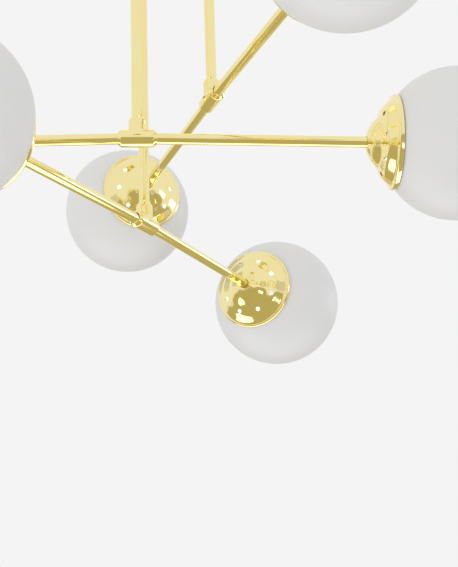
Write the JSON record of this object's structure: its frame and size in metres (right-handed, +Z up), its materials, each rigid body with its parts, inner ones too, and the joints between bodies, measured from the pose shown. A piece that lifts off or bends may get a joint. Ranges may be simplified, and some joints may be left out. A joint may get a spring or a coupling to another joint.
{
  "type": "multi arm chandelier",
  "caption": "Ceiling chandelier: three stepped rods from one canopy, each with a swivelling cross bar, vented brass cups and opal glass ball globes at both ends.",
  "frame": {"origin": "centre of the ceiling bracket's upper face, where it meets the ceiling", "axes": "+Z up into the ceiling, +X along the ceiling bracket and towards the rod of bar c, +Y across it; the lamp hangs below the origin"},
  "size_m": [0.7182, 0.7077, 0.5438],
  "materials": {
    "polished_brass": "mirror polished pale gold brass, clear lacquered",
    "opal_glass": "satin etched opal glass, white all through",
    "bulb_glass": "frosted bulb glass on a screw cap",
    "zinc_steel": "bright zinc plated",
    "spring_steel": "plain spring steel",
    "white_ceramic": "glazed white ceramic",
    "terminal_plastic": "moulded off-white"
  },
  "bodies": {
    "canopy_frame": {"canopy": "polished_brass", "canopy_screw_1": "polished_brass", "canopy_screw_2": "polished_brass", "ceiling_bracket": "zinc_steel", "rod_a": "polished_brass", "rod_b": "polished_brass", "rod_c": "polished_brass", "rod_nut_a": "zinc_steel", "rod_nut_b": "zinc_steel", "rod_nut_c": "zinc_steel", "terminal_block": "terminal_plastic"},
    "bar_a": {"arm_a1": "polished_brass", "arm_a2": "polished_brass", "bulb_a1": "bulb_glass", "bulb_a2": "bulb_glass", "cup_a1": "polished_brass", "cup_a2": "polished_brass", "cup_nut_a1": "zinc_steel", "cup_nut_a2": "zinc_steel", "globe_clip_a1": "spring_steel", "globe_clip_a2": "spring_steel", "hub_a": "polished_brass", "hub_screw_a": "zinc_steel", "lampholder_a1": "white_ceramic", "lampholder_a2": "white_ceramic"},
    "bar_b": {"arm_b1": "polished_brass", "arm_b2": "polished_brass", "bulb_b1": "bulb_glass", "bulb_b2": "bulb_glass", "cup_b1": "polished_brass", "cup_b2": "polished_brass", "cup_nut_b1": "zinc_steel", "cup_nut_b2": "zinc_steel", "globe_clip_b1": "spring_steel", "globe_clip_b2": "spring_steel", "hub_b": "polished_brass", "hub_screw_b": "zinc_steel", "lampholder_b1": "white_ceramic", "lampholder_b2": "white_ceramic"},
    "bar_c": {"arm_c1": "polished_brass", "arm_c2": "polished_brass", "bulb_c1": "bulb_glass", "bulb_c2": "bulb_glass", "cup_c1": "polished_brass", "cup_c2": "polished_brass", "cup_nut_c1": "zinc_steel", "cup_nut_c2": "zinc_steel", "globe_clip_c1": "spring_steel", "globe_clip_c2": "spring_steel", "hub_c": "polished_brass", "hub_screw_c": "zinc_steel", "lampholder_c1": "white_ceramic", "lampholder_c2": "white_ceramic"},
    "globe_a1": {"globe_a1": "opal_glass"},
    "globe_a2": {"globe_a2": "opal_glass"},
    "globe_b1": {"globe_b1": "opal_glass"},
    "globe_b2": {"globe_b2": "opal_glass"},
    "globe_c1": {"globe_c1": "opal_glass"},
    "globe_c2": {"globe_c2": "opal_glass"}
  },
  "joints": [
    {"name": "bar_swivel_a", "type": "hinge", "parent": "canopy_frame", "child": "bar_a", "pos_m": [-0.0225, -0.03897, -0.416], "axis": [0, 0, 1], "range_deg": [-15, 9]},
    {"name": "bar_swivel_b", "type": "hinge", "parent": "canopy_frame", "child": "bar_b", "pos_m": [-0.0225, 0.03897, -0.468], "axis": [0, 0, 1], "range_deg": [-8, 7]},
    {"name": "bar_swivel_c", "type": "hinge", "parent": "canopy_frame", "child": "bar_c", "pos_m": [0.045, 0, -0.36], "axis": [0, 0, 1], "range_deg": [-6, 12]},
    {"name": "globe_pull_a1", "type": "slide", "parent": "bar_a", "child": "globe_a1", "axis": [0.9973, 0.0697, -0.0209], "range_m": [0, 0.1]},
    {"name": "globe_pull_a2", "type": "slide", "parent": "bar_a", "child": "globe_a2", "axis": [-0.9973, -0.0697, -0.0209], "range_m": [0, 0.1]},
    {"name": "globe_pull_b1", "type": "slide", "parent": "bar_b", "child": "globe_b1", "axis": [0.4539, 0.8908, -0.0209], "range_m": [0, 0.1]},
    {"name": "globe_pull_b2", "type": "slide", "parent": "bar_b", "child": "globe_b2", "axis": [-0.4539, -0.8908, -0.0209], "range_m": [0, 0.1]},
    {"name": "globe_pull_c1", "type": "slide", "parent": "bar_c", "child": "globe_c1", "axis": [-0.3583, 0.9334, -0.0209], "range_m": [0, 0.1]},
    {"name": "globe_pull_c2", "type": "slide", "parent": "bar_c", "child": "globe_c2", "axis": [0.3583, -0.9334, -0.0209], "range_m": [0, 0.1]}
  ]
}
